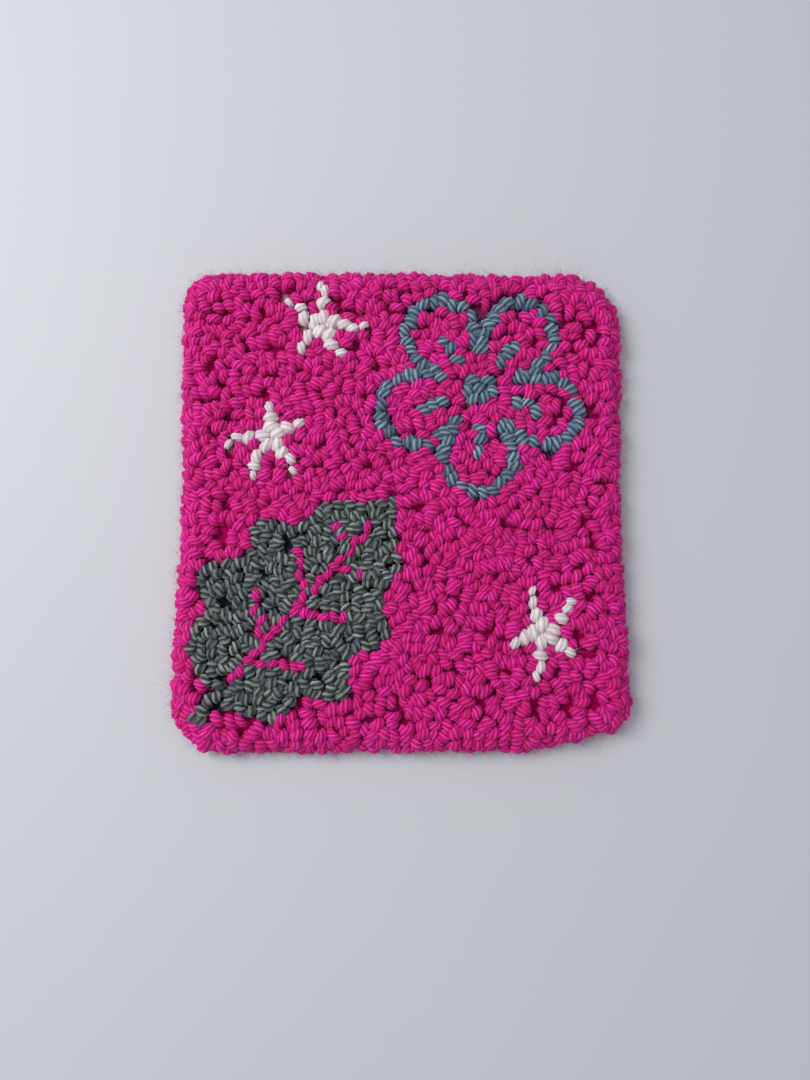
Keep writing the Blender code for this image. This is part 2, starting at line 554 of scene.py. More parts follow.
@dataclass(frozen=True)
class Star:
    """A ragged five-armed star: a knot of thick loops, and arms that thin towards their tips."""

    x: float
    y: float
    turn: float
    arms: tuple[float, ...]
    bends: tuple[float, ...]

    def punches(self, rng: np.random.Generator) -> Punches:
        """The star's loops: one ring in the middle, then one behind the other along each arm."""
        centre = np.array([self.x, self.y])
        angles = math.radians(self.turn) + 2 * math.pi * np.arange(5) / 5
        knot = centre + 2.5 * MM * np.stack([np.cos(angles), np.sin(angles)], axis=1)
        groups = [Punches.of(Wool.WHITE, knot, angles, 3.8 * MM, 1.15)]
        for angle, arm, bend in zip(angles, self.arms, self.bends):
            steps = np.arange(6.6 * MM, arm, 3.6 * MM)
            lean = angle + bend * steps / arm
            places = centre + steps[:, None] * np.stack([np.cos(lean), np.sin(lean)], axis=1)
            thickness = np.interp(steps, [6 * MM, 14 * MM], [1.1, 0.6])
            width = np.interp(steps, [6 * MM, 14 * MM], [3.2 * MM, 2.2 * MM])
            groups.append(Punches.of(Wool.WHITE, places, lean + bend, width, thickness))
        return Punches.joined(groups)


STARS = (
    Star(
        x=-26 * MM,
        y=60 * MM,
        turn=80,
        arms=(14.5 * MM, 14 * MM, 12 * MM, 13.5 * MM, 15 * MM),
        bends=(0.25, -0.1, 0.1, 0.15, -0.2),
    ),
    Star(
        x=-43 * MM,
        y=22 * MM,
        turn=97,
        arms=(13.5 * MM, 14.5 * MM, 14 * MM, 14.5 * MM, 11 * MM),
        bends=(-0.2, 0.3, 0.1, -0.15, 0.1),
    ),
    Star(
        x=46 * MM,
        y=-42 * MM,
        turn=112,
        arms=(14.5 * MM, 12 * MM, 14 * MM, 12.5 * MM, 16 * MM),
        bends=(-0.1, 0.3, 0.1, -0.1, 0.15),
    ),
)


@dataclass(frozen=True)
class Flower:
    """A daisy drawn in one row of loops: round petals, a short stroke in each, and a filled eye."""

    x: float = 26 * MM
    y: float = 38 * MM
    petals: int = 5
    notch: float = 13.5 * MM
    tip: float = 34 * MM
    eye: float = 3.6 * MM
    turn: float = 17
    pitch: float = 3.5 * MM

    def petal_line(self) -> Array:
        """The closed line round the petals.

        Its radius is notch + (tip - notch) * |sin(petals * t / 2)| ** 0.6.
        """
        t = np.linspace(0, 2 * math.pi, 721)
        petal = self.notch + (self.tip - self.notch) * np.abs(np.sin(self.petals * t / 2)) ** 0.6
        angle = t + math.radians(self.turn)
        return np.array([self.x, self.y]) + petal[:, None] * np.stack([np.cos(angle), np.sin(angle)], axis=1)

    def punches(self, rng: np.random.Generator) -> Punches:
        """The flower's loops: its petal line, one stroke in each petal, and its eye."""
        centre = np.array([self.x, self.y])
        places, heading = along_line(self.petal_line(), self.pitch)
        around = math.radians(self.turn) + 2 * math.pi * (np.arange(self.petals) + 0.5) / self.petals
        reach = np.array([12.5 * MM, 16.1 * MM, 19.7 * MM])
        angle, reach = (grid.ravel() for grid in np.meshgrid(around, reach))
        strokes = centre + reach[:, None] * np.stack([np.cos(angle), np.sin(angle)], axis=1)
        ring = np.arange(6) * math.pi / 3
        eye = centre + self.eye * np.stack([np.cos(ring), np.sin(ring)], axis=1)
        eye = np.vstack([eye, centre])
        all_places = np.vstack([places, strokes, eye])
        all_headings = np.concatenate([heading, angle, ring + math.pi / 2, [0.4]])
        count = len(all_places)
        return Punches.of(
            Wool.BLUE,
            all_places + rng.normal(0, 0.25 * MM, all_places.shape),
            all_headings + rng.normal(0, 0.3, count),
            rng.normal(3.2 * MM, 0.4 * MM, count),
            rng.normal(1.04, 0.06, count),
        )


@dataclass(frozen=True)
class Leaf:
    """A broad lobed leaf filled with rows that run along its side veins.

    Its midrib and side veins are rows in the ground colour.
    """

    x: float = -31 * MM
    y: float = -31 * MM
    turn: float = 48
    length: float = 86 * MM
    half_width: float = 28 * MM
    stalk: float = 13 * MM
    lobes: float = 4.0
    vein_angle: float = 50
    veins: tuple[float, ...] = (0.22, 0.46, 0.68)
    row_gap: float = 2.75 * MM
    pitch: float = 3.2 * MM

    def to_rug(self, up: Array, out: Array) -> Array:
        """Places on the rug for distances up the midrib and out to its left."""
        along, beside = turned(math.radians(self.turn))
        base = np.array([self.x, self.y]) - along * self.length / 2
        return base + np.multiply.outer(up, along) + np.multiply.outer(out, beside)

    def from_rug(self, places: Array) -> tuple[Array, Array]:
        """Distances up the midrib and out to its left for places on the rug."""
        along, beside = turned(math.radians(self.turn))
        offset = places - (np.array([self.x, self.y]) - along * self.length / 2)
        return offset @ along, offset @ beside

    def margin(self, up: Array) -> Array:
        """Half the leaf's width at a distance up its midrib: a sine arch with shallow lobes."""
        share = np.clip(up / self.length, 0, 1)
        arch = np.sin(math.pi * share**0.78) ** 0.8
        lobes = 1 + 0.15 * np.cos(2 * math.pi * (self.lobes * share - 0.35))
        return self.half_width * arch * lobes

    def holds(self, places: Array, inset: float) -> Array:
        """Whether each place is in the leaf, at least the inset from its margin."""
        up, out = self.from_rug(places)
        slope = np.gradient(self.margin(np.linspace(0, self.length, 200)), self.length / 199)
        steep = np.interp(up, np.linspace(0, self.length, 200), np.hypot(1, slope))
        return (np.abs(out) < self.margin(up) - inset * steep) & (up > 0) & (up < self.length)

    def edge(self, inset: float) -> Array:
        """The closed line of the leaf's margin, moved in by the inset."""
        up = np.linspace(0, self.length, 300)
        line = np.vstack([self.to_rug(up, self.margin(up)), self.to_rug(up[::-1], -self.margin(up[::-1]))])
        step = unit(np.roll(line, -3, axis=0) - np.roll(line, 3, axis=0))
        moved = line + inset * np.stack([step[:, 1], -step[:, 0]], axis=1)
        moved = moved[self.holds(moved, 0.8 * inset)]
        return np.vstack([moved, moved[:1]])

    def ribs(self) -> list[Array]:
        """The midrib and the side veins, as lines from their roots to their tips."""
        lines = [self.to_rug(np.linspace(0.09, 0.88, 60) * self.length, np.zeros(60))]
        vein = math.radians(self.vein_angle)
        for side in (-1, 1):
            for share in self.veins:
                reach = np.linspace(3.3 * MM, 30 * MM, 100)
                up = (share + 0.04 * side) * self.length + reach * math.cos(vein)
                out = reach * math.sin(vein)
                shown = out < 0.5 * self.margin(up)
                lines.append(self.to_rug(up[shown], side * out[shown]))
        return [line for line in lines if len(line) > 3]

    def rows(self) -> tuple[Array, Array]:
        """Places and headings of slanting rows over the whole leaf."""
        vein = math.radians(self.vein_angle)
        places, heading = [], []
        for side in (-1, 1):
            reach, row = np.meshgrid(
                np.arange(0, 1.7 * self.half_width, self.pitch),
                np.arange(-self.half_width, self.length, self.row_gap / math.sin(vein)),
            )
            reach = reach + np.where(np.round(row / self.row_gap) % 2 == 0, 0.5, 0) * self.pitch
            up = row + reach * math.cos(vein)
            out = 1.2 * MM + reach * math.sin(vein)
            places.append(self.to_rug(up.ravel(), side * out.ravel()))
            heading.append(np.full(up.size, math.radians(self.turn) + side * vein))
        return np.concatenate(places), np.concatenate(heading)

    def punches(self, rng: np.random.Generator) -> Punches:
        """The leaf's loops: its edge, its stalk, its ribs in the ground colour, and its rows."""
        groups = []
        for line in self.ribs():
            places, heading = along_line(line, 3.4 * MM)
            groups.append(Punches.of(Wool.PINK, places, heading, 2.8 * MM, 0.8))
        ribs = Punches.joined(groups)
        places, heading = along_line(self.edge(1.5 * MM), 3.5 * MM)
        edge = Punches.of(Wool.HEATHER, places, heading, 2.6 * MM).clear_of(ribs, 0.7)
        stalk_line = self.to_rug(np.linspace(-self.stalk, 0.05 * self.length, 20), np.zeros(20))
        places, heading = along_line(stalk_line, 3.4 * MM)
        stalk = Punches.of(Wool.HEATHER, places, heading, 2.6 * MM, 1.05)
        drawn = Punches.joined([ribs, edge.clear_of(stalk, 0.8), stalk.clear_of(ribs, 0.6)])
        places, heading = self.rows()
        inside = self.holds(places, 3.4 * MM)
        rows = Punches.of(Wool.HEATHER, places[inside], heading[inside], 2.6 * MM, 1.0, fixed=False)
        rows = rows.clear_of(drawn, 0.55)
        rows.width = rng.normal(2.5 * MM, 0.35 * MM, len(rows))
        rows.heading = rows.heading + rng.normal(0, 0.25, len(rows))
        return Punches.joined([drawn, rows])


# Settling of the pile


def pairs_within(places: Array, distance: float) -> tuple[Whole, Whole]:
    """Index pairs of the places that lie nearer to each other than a distance."""
    gaps = np.linalg.norm(places[:, None, :] - places[None, :, :], axis=2)
    first, second = np.nonzero(np.triu(gaps < distance, k=1))
    return first, second


def gathered(index: Whole, values: Array, count: int) -> Array:
    """Sums rows of values into count places, by index."""
    return np.stack([np.bincount(index, values[:, axis], count) for axis in range(values.shape[1])], axis=1)


@dataclass
class Pile:
    """The layout of every loop of the rug, from the rim's courses to the settled pile."""

    shape: RugShape
    ground_inset: float = 10.3 * MM
    motif_inset: float = 9.0 * MM
    crowding: float = 1.2
    spread_rounds: int = 120
    spread_step: float = 0.2
    root_height: float = 1.9 * MM
    reach: float = 8.05 * MM
    settle_rounds: int = 70
    press: float = 0.82
    seed: int = SEED

    def _rim(self, rng: np.random.Generator) -> Loops:
        """Loops of the rim: fans that lift from flat on the table to nearly upright."""
        groups = []
        for course in RIM_COURSES:
            inset = course.root_inset - course.reach * math.cos(math.radians(course.lift))
            count = round((self.shape.perimeter - 2 * math.pi * max(0.0, inset)) / course.pitch)
            share = (np.arange(count) + rng.uniform(-0.22, 0.22, count) + rng.uniform(0, 1)) / count
            spot, outward = self.shape.place(share, course.root_inset)
            lift = np.radians(course.lift) + rng.normal(0, 0.08, count)
            out = np.column_stack([outward, np.zeros(count)])
            up = np.array([0.0, 0.0, 1.0])
            side = np.cross(up, out)
            aim = np.cos(lift)[:, None] * out + np.sin(lift)[:, None] * up
            aim = unit(aim + side * rng.normal(0, 0.15, (count, 1)))
            twist = rng.normal(0, 0.3 + 0.5 * math.sin(math.radians(course.lift)), count)
            over = np.cross(aim, square_to(side, aim))
            heading = np.cos(twist)[:, None] * square_to(side, aim) + np.sin(twist)[:, None] * over
            groups.append(Loops(
                root=np.column_stack([spot, np.full(count, course.root_height)]),
                aim=aim,
                heading=heading,
                reach=course.reach * rng.normal(1, 0.06, count),
                width=np.clip(rng.normal(2.8 * MM, 0.5 * MM, count), 1.6 * MM, 4.0 * MM),
                radius=YARNS[Wool.PINK].radius * rng.normal(1, 0.05, count),
                wool=np.full(count, WOOLS.index(Wool.PINK)),
                hold=np.full(count, 0.10),
            ))
        return Loops.joined(groups)

    def _ground(self, drawn: Punches, leaf: Leaf, rng: np.random.Generator) -> Punches:
        """The ground's punches: a shaken honeycomb inside the rim and clear of the motifs."""
        pitch = YARNS[Wool.PINK].spacing
        half = float(np.abs(self.shape.outline).max())
        row_gap = pitch * math.sqrt(3) / 2
        x, y = np.meshgrid(np.arange(-half, half, pitch), np.arange(-half, half, row_gap))
        x = x + np.where(np.round(y / row_gap) % 2 == 0, 0.5, 0) * pitch
        places = np.stack([x.ravel(), y.ravel()], axis=1)
        places += rng.normal(0, 0.8 * MM, places.shape)
        inset, _ = self.shape.inset_of(places)
        places = places[(inset > self.ground_inset) & ~leaf.holds(places, 0.0)]
        flow = 2.6 * soft_noise(places, 17 * MM, self.seed + 9)
        width = np.clip(rng.normal(2.9 * MM, 0.5 * MM, len(places)), 1.7 * MM, 4.2 * MM)
        ground = Punches.of(Wool.PINK, places, flow + rng.normal(0, 0.5, len(places)), width, 1.0, fixed=False)
        ground.thickness = rng.normal(1, 0.07, len(ground))
        return ground.clear_of(drawn, 0.62)

    def _spread(self, punches: Punches) -> None:
        """Evens out the free punches, which push each other and are pushed by the fixed ones."""
        room = self.crowding * punches.room()
        loose = ~punches.fixed
        for turn in range(self.spread_rounds):
            if turn % 10 == 0:
                first, second = pairs_within(punches.places, 1.5 * float(room.max()))
            apart = punches.places[first] - punches.places[second]
            gap = np.linalg.norm(apart, axis=1)
            push = np.maximum(0, (room[first] + room[second]) / 2 - gap) / np.maximum(gap, 1e-9)
            shove = apart * push[:, None]
            move = gathered(first, shove, len(punches)) - gathered(second, shove, len(punches))
            punches.places[loose] += self.spread_step * move[loose]
            inset, outward = self.shape.inset_of(punches.places[loose])
            punches.places[loose] -= outward * np.maximum(0, self.ground_inset - inset)[:, None]

    def _standing(self, punches: Punches, rng: np.random.Generator) -> Loops:
        """Loops that stand up from the punches, each with its own small lean.

        Near the rim they lean outward, and over the ground they lean together in small
        clumps, which leaves shallow furrows between the clumps.
        """
        count = len(punches)
        places = punches.places
        inset, outward = self.shape.inset_of(places)
        free = np.where(punches.fixed, 0.4, 1.0)
        sway = np.stack([soft_noise(places, 8.5 * MM, self.seed + k) for k in (1, 2)], axis=1)
        lean = (0.13 * sway + rng.normal(0, 0.15, (count, 2))) * free[:, None]
        lean += outward * (0.30 * np.clip(1 - (inset - 10 * MM) / (6 * MM), 0, 1))[:, None]
        fallen = (rng.uniform(0, 1, count) < 0.22) & ~punches.fixed
        lean += np.where(fallen, 0.45, 0)[:, None] * unit(rng.normal(0, 1, (count, 2)))
        aim = unit(np.column_stack([lean, np.ones(count)]))
        extra = np.array([0.0, 0.5 * MM, 0.2 * MM, 0.0])[punches.wool]
        height = 0.2 * MM * soft_noise(places, 30 * MM, self.seed + 3) + rng.normal(0, 0.28 * MM, count) * free
        height += 0.2 * MM * soft_noise(places, 8 * MM, self.seed + 4) * free
        base = np.array([YARNS[wool].radius for wool in WOOLS])
        return Loops(
            root=np.column_stack([places, np.full(count, self.root_height)]),
            aim=aim,
            heading=square_to(flat_direction(punches.heading), aim),
            reach=self.reach + extra + height,
            width=punches.width + fallen * 0.9 * MM,
            radius=base[punches.wool] * punches.thickness,
            wool=punches.wool,
            hold=np.where(punches.fixed, 0.16, 0.06),
        )

    def _settled(self, loops: Loops) -> Loops:
        """Presses the loops apart where they overlap, as round beads along each head.

        Three beads lie along the head of a loop. Beads of different loops that overlap push
        each other, which swings the loop about its root and turns its head, while a weak
        spring pulls it back to where it was punched. The table and the outline hold them in.
        """
        count = len(loops)
        home = loops.aim.copy()
        first, second = pairs_within(loops.crown(), 9 * MM)
        room = self.press * (loops.radius[first] + loops.radius[second])
        spots = np.array([-1.0, 0.0, 1.0])
        half = 0.42 * loops.width
        drop = 0.35 * loops.radius
        for _ in range(self.settle_rounds):
            crown = loops.crown()
            beads = crown[:, None, :] + (half[:, None] * spots)[..., None] * loops.heading[:, None, :]
            beads -= (drop[:, None] * np.abs(spots))[..., None] * loops.aim[:, None, :]
            push = np.zeros((count, 3, 3))
            push[..., 2] += 0.5 * np.maximum(0, 1.05 * loops.radius[:, None] - beads[..., 2])
            for one in range(3):
                for other in range(3):
                    apart = beads[first, one] - beads[second, other]
                    gap = np.linalg.norm(apart, axis=1)
                    shove = apart * (0.5 * np.maximum(0, room - gap) / np.maximum(gap, 1e-9))[:, None]
                    push[:, one] += gathered(first, shove, count)
                    push[:, other] -= gathered(second, shove, count)
            crown = crown + 0.35 * push.sum(axis=1)
            inset, outward = self.shape.inset_of(crown[:, :2])
            crown[:, :2] -= outward * np.maximum(0, loops.radius - inset)[:, None]
            crown[:, 2] = np.maximum(crown[:, 2], 1.05 * loops.radius)
            loops.aim = unit(unit(crown - loops.root) + loops.hold[:, None] * home)
            swung = loops.heading + 0.5 * (push[:, 2] - push[:, 0]) / np.maximum(half, MM / 2)[:, None]
            loops.heading = square_to(swung, loops.aim)
        top = self.shape.thickness - 0.05 * MM
        highest = loops.root[:, 2] + loops.aim[:, 2] * loops.reach
        loops.reach = loops.reach * np.minimum(1, top / np.maximum(highest, 1e-9))
        return loops

    def loops(self) -> Loops:
        """Every loop of the rug, settled.

        Returns:
            The loops of the rim, the motifs and the ground.
        """
        rng = np.random.default_rng(self.seed)
        leaf = Leaf()
        drawn = Punches.joined([star.punches(rng) for star in STARS] + [Flower().punches(rng), leaf.punches(rng)])
        inset, outward = self.shape.inset_of(drawn.places)
        drawn.places -= outward * np.maximum(0, self.motif_inset - inset)[:, None]
        punches = Punches.joined([drawn, self._ground(drawn, leaf, rng)])
        self._spread(punches)
        rim = self._rim(rng)
        LOG.info("loops: %d in the rim, %d inside it", len(rim), len(punches))
        return self._settled(Loops.joined([rim, self._standing(punches, rng)]))


# Materials


@dataclass
class Graph:
    """A material's node tree, with short calls for the nodes used here."""

    material: bpy.types.Material
    tree: bpy.types.NodeTree = field(init=False)
    shader: bpy.types.Node = field(init=False)

    def __post_init__(self) -> None:
        """Turns the material's nodes on and finds its shader."""
        self.material.use_nodes = True
        self.tree = self.material.node_tree
        self.shader = self.tree.nodes["Principled BSDF"]

    def put(self, socket: bpy.types.NodeSocket, value: object) -> None:
        """Links a socket to another, or sets it to a constant."""
        if isinstance(value, bpy.types.NodeSocket):
            self.tree.links.new(value, socket)
        else:
            socket.default_value = value

    def attribute(self, name: str, output: str = "Fac") -> bpy.types.NodeSocket:
        """A named attribute of the piece."""
        node = self.tree.nodes.new("ShaderNodeAttribute")
        node.attribute_name = name
        return node.outputs[output]

    def place(self) -> bpy.types.NodeSocket:
        """Object coordinates, in metres."""
        return self.tree.nodes.new("ShaderNodeTexCoord").outputs["Object"]

    def scaled(self, vector: object, scale: tuple[float, float, float]) -> bpy.types.NodeSocket:
        """A vector multiplied by a scale for each axis."""
        node = self.tree.nodes.new("ShaderNodeVectorMath")
        node.operation = "MULTIPLY"
        self.put(node.inputs[0], vector)
        self.put(node.inputs[1], scale)
        return node.outputs["Vector"]

    def maths(self, operation: str, first: object, second: object = 0.0) -> bpy.types.NodeSocket:
        """One sum of two numbers."""
        node = self.tree.nodes.new("ShaderNodeMath")
        node.operation = operation
        self.put(node.inputs[0], first)
        self.put(node.inputs[1], second)
        return node.outputs["Value"]

    def between(self, value: object, low: float, high: float, to_low: float, to_high: float) -> bpy.types.NodeSocket:
        """A value carried from one range to another and held inside it."""
        node = self.tree.nodes.new("ShaderNodeMapRange")
        for name, item in (
            ("Value", value),
            ("From Min", low),
            ("From Max", high),
            ("To Min", to_low),
            ("To Max", to_high),
        ):
            self.put(node.inputs[name], item)
        return node.outputs["Result"]

    def noise(self, vector: object, scale: float, detail: float = 2.0, output: str = "Fac") -> bpy.types.NodeSocket:
        """Noise of a scale, in three dimensions."""
        node = self.tree.nodes.new("ShaderNodeTexNoise")
        self.put(node.inputs["Vector"], vector)
        self.put(node.inputs["Scale"], scale)
        self.put(node.inputs["Detail"], detail)
        return node.outputs[output]

    def mix(self, share: object, first: object, second: object, blend: str = "MIX") -> bpy.types.NodeSocket:
        """A mix of two colours."""
        node = self.tree.nodes.new("ShaderNodeMix")
        node.data_type = "RGBA"
        node.blend_type = blend
        self.put(node.inputs["Factor"], share)
        self.put(node.inputs[6], first)
        self.put(node.inputs[7], second)
        return node.outputs[2]

    def bump(self, height: object, distance: float, strength: float, under: object = None) -> bpy.types.NodeSocket:
        """A bumped normal from a height."""
        node = self.tree.nodes.new("ShaderNodeBump")
        self.put(node.inputs["Strength"], strength)
        self.put(node.inputs["Distance"], distance)
        self.put(node.inputs["Height"], height)
        if under is not None:
            self.put(node.inputs["Normal"], under)
        return node.outputs["Normal"]


Colour = tuple[float, float, float, float]


@dataclass(frozen=True)
class WoolFinish:
    """The finish of a wool yarn: its own shade, flecks and fuzz; its shadow colour, painted as shade and also used
    to darken its random tone; its light colour, painted as a highlight on the ridges of the plies; and groove, how
    strongly the grooves are painted in shadow.
    """

    wool: Wool
    shade: Colour
    shadow: Colour
    light: Colour
    flecks: tuple[Colour, ...] = ()
    groove: float = 0.55
    glow: float = 0.3
    sheen: float = 0.25
    sheen_tint: Colour = (1, 1, 1, 1)
    fibre_bump: float = 0.6

    def material(self) -> bpy.types.Material:
        """Plied wool: rounded plies with painted shade in their grooves and painted highlights on their ridges, fine
        fibres along them, uneven dye, and painted shade low in the pile.
        """
        graph = Graph(bpy.data.materials.new(self.wool.value))
        ply = graph.attribute("ply")
        strand = graph.attribute("strand", "Vector")
        tone = graph.attribute("tone")
        depth = graph.attribute("depth")
        slope = graph.maths("POWER", graph.maths("SUBTRACT", 1.0, ply), 2.0)
        roundness = graph.maths("SQRT", graph.maths("MAXIMUM", graph.maths("SUBTRACT", 1.0, slope), 0.0))
        fibres = graph.noise(graph.scaled(strand, (3.0, 3.0, 0.3)), 1.0, 3.0)
        clumps = graph.noise(graph.scaled(strand, (1.6, 1.6, 0.3)), 1.0, 2.0)
        patches = graph.noise(graph.place(), 70.0, 2.0)
        colour: object = self._flecked(graph, strand) if self.flecks else self.shade
        # Painted highlight: the light colour laid on the ridges of the plies, broken up by the fibres.
        ridge = graph.between(ply, 0.3, 0.9, 0.0, 1.0)
        ridge_highlight = graph.maths("MULTIPLY", graph.between(fibres, 0.38, 0.6, 0.0, 1.0), ridge)
        colour = graph.mix(ridge_highlight, colour, self.light)
        # Painted shade: the shadow colour in the grooves between the plies.
        hollow = graph.maths("ADD", ply, graph.between(fibres, 0.3, 0.7, -0.18, 0.18))
        colour = graph.mix(graph.between(hollow, 0.08, 0.62, self.groove, 0.0), colour, self.shadow)
        uneven = graph.maths("ADD", graph.maths("MULTIPLY", tone, 0.5), graph.maths("MULTIPLY", clumps, 0.6))
        uneven = graph.maths("ADD", uneven, graph.maths("MULTIPLY", patches, 0.4))
        colour = graph.mix(graph.between(uneven, 0.45, 1.1, 0.0, 0.55), colour, self.shadow)
        # Painted shade: the yarn darker lower in the pile, towards the cloth.
        colour = graph.mix(graph.between(depth, 0.4, 0.85, 0.85, 0.0), colour, self.shadow)
        graph.put(graph.shader.inputs["Base Color"], colour)
        graph.put(graph.shader.inputs["Roughness"], graph.between(fibres, 0.3, 0.7, 0.6, 0.9))
        plied = graph.bump(roundness, 0.3 * MM, 0.9)
        graph.put(graph.shader.inputs["Normal"], graph.bump(fibres, 0.15 * MM, self.fibre_bump, plied))
        graph.put(graph.shader.inputs["Sheen Weight"], self.sheen)
        graph.put(graph.shader.inputs["Sheen Roughness"], 0.4)
        graph.put(graph.shader.inputs["Sheen Tint"], self.sheen_tint)
        graph.put(graph.shader.inputs["Specular IOR Level"], 0.3)
        graph.put(graph.shader.inputs["Subsurface Weight"], self.glow)
        graph.put(graph.shader.inputs["Subsurface Radius"], (1.0, 0.5, 0.7))
        graph.put(graph.shader.inputs["Subsurface Scale"], 0.8 * MM)
        return graph.material

    def _flecked(self, graph: Graph, strand: object) -> bpy.types.NodeSocket:
        """Colour of a heather yarn: streaks of its flecks' colours along the fibres."""
        streaks = graph.noise(graph.scaled(strand, (2.2, 2.2, 0.6)), 1.0, 2.0)
        ramp = graph.tree.nodes.new("ShaderNodeValToRGB")
        graph.put(ramp.inputs["Fac"], streaks)
        places = np.linspace(0.32, 0.68, len(self.flecks))
        ramp.color_ramp.elements[0].position = float(places[0])
        ramp.color_ramp.elements[0].color = self.flecks[0]
        ramp.color_ramp.elements[1].position = float(places[-1])
        ramp.color_ramp.elements[1].color = self.flecks[-1]
        for place, fleck in zip(places[1:-1], self.flecks[1:-1]):
            ramp.color_ramp.elements.new(float(place)).color = fleck
        return ramp.outputs["Color"]


# In each finish, shadow is the colour painted as shade in the grooves, low in the pile and on the bed, and light is
# the colour painted as a highlight on the ridges of the plies.
FINISHES: dict[Wool, WoolFinish] = {
    Wool.PINK: WoolFinish(
        wool=Wool.PINK,
        shade=(0.80, 0.001, 0.27, 1),
        shadow=(0.48, 0.0, 0.12, 1),
        light=(1.0, 0.07, 0.62, 1),
        groove=0.85,
        sheen=0.25,
        sheen_tint=(1.0, 0.3, 0.8, 1),
    ),
    Wool.WHITE: WoolFinish(
        wool=Wool.WHITE,
        shade=(0.82, 0.79, 0.80, 1),
        shadow=(0.66, 0.47, 0.55, 1),
        light=(0.92, 0.91, 0.90, 1),
        groove=0.4,
        sheen=0.1,
    ),
    Wool.BLUE: WoolFinish(
        wool=Wool.BLUE,
        shade=(0.15, 0.26, 0.37, 1),
        shadow=(0.03, 0.055, 0.11, 1),
        light=(0.44, 0.58, 0.70, 1),
        groove=0.85,
        glow=0.1,
        sheen=0.2,
        sheen_tint=(0.75, 0.85, 1.0, 1),
    ),
    Wool.HEATHER: WoolFinish(
        wool=Wool.HEATHER,
        shade=(0.14, 0.17, 0.18, 1),
        shadow=(0.012, 0.022, 0.032, 1),
        light=(0.45, 0.50, 0.49, 1),
        flecks=(
            (0.045, 0.065, 0.13, 1),
            (0.07, 0.10, 0.11, 1),
            (0.15, 0.175, 0.19, 1),
            (0.18, 0.20, 0.11, 1),
            (0.30, 0.34, 0.34, 1),
        ),
        groove=0.85,
        glow=0.1,
        sheen=0.15,
        sheen_tint=(0.8, 0.9, 0.9, 1),
    ),
}


@dataclass(frozen=True)
class BedFinish:
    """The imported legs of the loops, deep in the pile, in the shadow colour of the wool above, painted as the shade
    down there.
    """

    def material(self) -> bpy.types.Material:
        """The piece's painted shadow colours, broken up by fibres with painted black shade between them."""
        graph = Graph(bpy.data.materials.new("pile_bed"))
        colour = graph.attribute("wool_shade", "Color")
        strands = graph.noise(graph.scaled(graph.place(), (1, 1, 0.2)), 900.0, 3.0)
        # Painted shade: the fibres of the bed darkened towards black.
        colour = graph.mix(graph.between(strands, 0.4, 0.7, 0.0, 0.5), colour, (0.0, 0.0, 0.0, 1))
        graph.put(graph.shader.inputs["Base Color"], colour)
        graph.put(graph.shader.inputs["Roughness"], 0.95)
        graph.put(graph.shader.inputs["Specular IOR Level"], 0.1)
        graph.put(graph.shader.inputs["Normal"], graph.bump(strands, 0.4 * MM, 0.8))
        return graph.material


@dataclass(frozen=True)
class ClothFinish:
    """Undyed cotton foundation cloth in an open plain weave."""

    thread: float = 2.1 * MM
    shade: Colour = (0.74, 0.67, 0.55, 1)
    shadow: Colour = (0.45, 0.38, 0.28, 1)

    def material(self) -> bpy.types.Material:
        """A plain weave: threads along X and Y pass over and under each other in turn, with painted shade where they
        dip.
        """
        graph = Graph(bpy.data.materials.new("foundation_cloth"))
        split = graph.tree.nodes.new("ShaderNodeSeparateXYZ")
        rate = math.pi / self.thread
        graph.put(split.inputs[0], graph.scaled(graph.place(), (rate, rate, rate)))
        over_x = graph.maths("SINE", split.outputs["X"])
        over_y = graph.maths("SINE", split.outputs["Y"])
        warp = graph.maths("ABSOLUTE", over_x)
        weft = graph.maths("ABSOLUTE", over_y)
        turn = graph.maths("MULTIPLY", over_x, over_y)
        side = graph.between(turn, -0.15, 0.15, 0.0, 1.0)
        height = graph.maths("ADD", graph.maths("MULTIPLY", warp, side), graph.maths("MULTIPLY", weft, graph.maths("SUBTRACT", 1.0, side)))
        fluff = graph.noise(graph.place(), 1800.0, 3.0)
        # Painted shade: the threads darker where they dip under the crossing threads.
        colour = graph.mix(graph.between(height, 0.1, 0.7, 1.0, 0.0), self.shade, self.shadow)
        colour = graph.mix(graph.between(fluff, 0.4, 0.7, 0.0, 0.3), colour, self.shadow)
        graph.put(graph.shader.inputs["Base Color"], colour)
        graph.put(graph.shader.inputs["Roughness"], graph.between(fluff, 0.3, 0.7, 0.8, 0.95))
        woven = graph.bump(height, 0.3 * MM, 0.9)
        graph.put(graph.shader.inputs["Normal"], graph.bump(fluff, 0.06 * MM, 0.4, woven))
        return graph.material


# Pieces of the rug


def finish_piece(piece: bpy.types.Object, material: bpy.types.Material) -> bpy.types.Object:
    """Dresses a piece with its material, hangs it on the body, hides the imported solid and logs its size."""
    piece.data.materials.append(material)
    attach(piece, BODY)
    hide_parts(NODE)
    faces = len(piece.data.polygons)
    LOG.info("piece %s: %d faces, %d triangles", piece.name, faces, triangles_of(piece.data))
    return piece


def triangles_of(mesh: bpy.types.Mesh) -> int:
    """How many triangles a mesh has."""
    mesh.calc_loop_triangles()
    return len(mesh.loop_triangles)


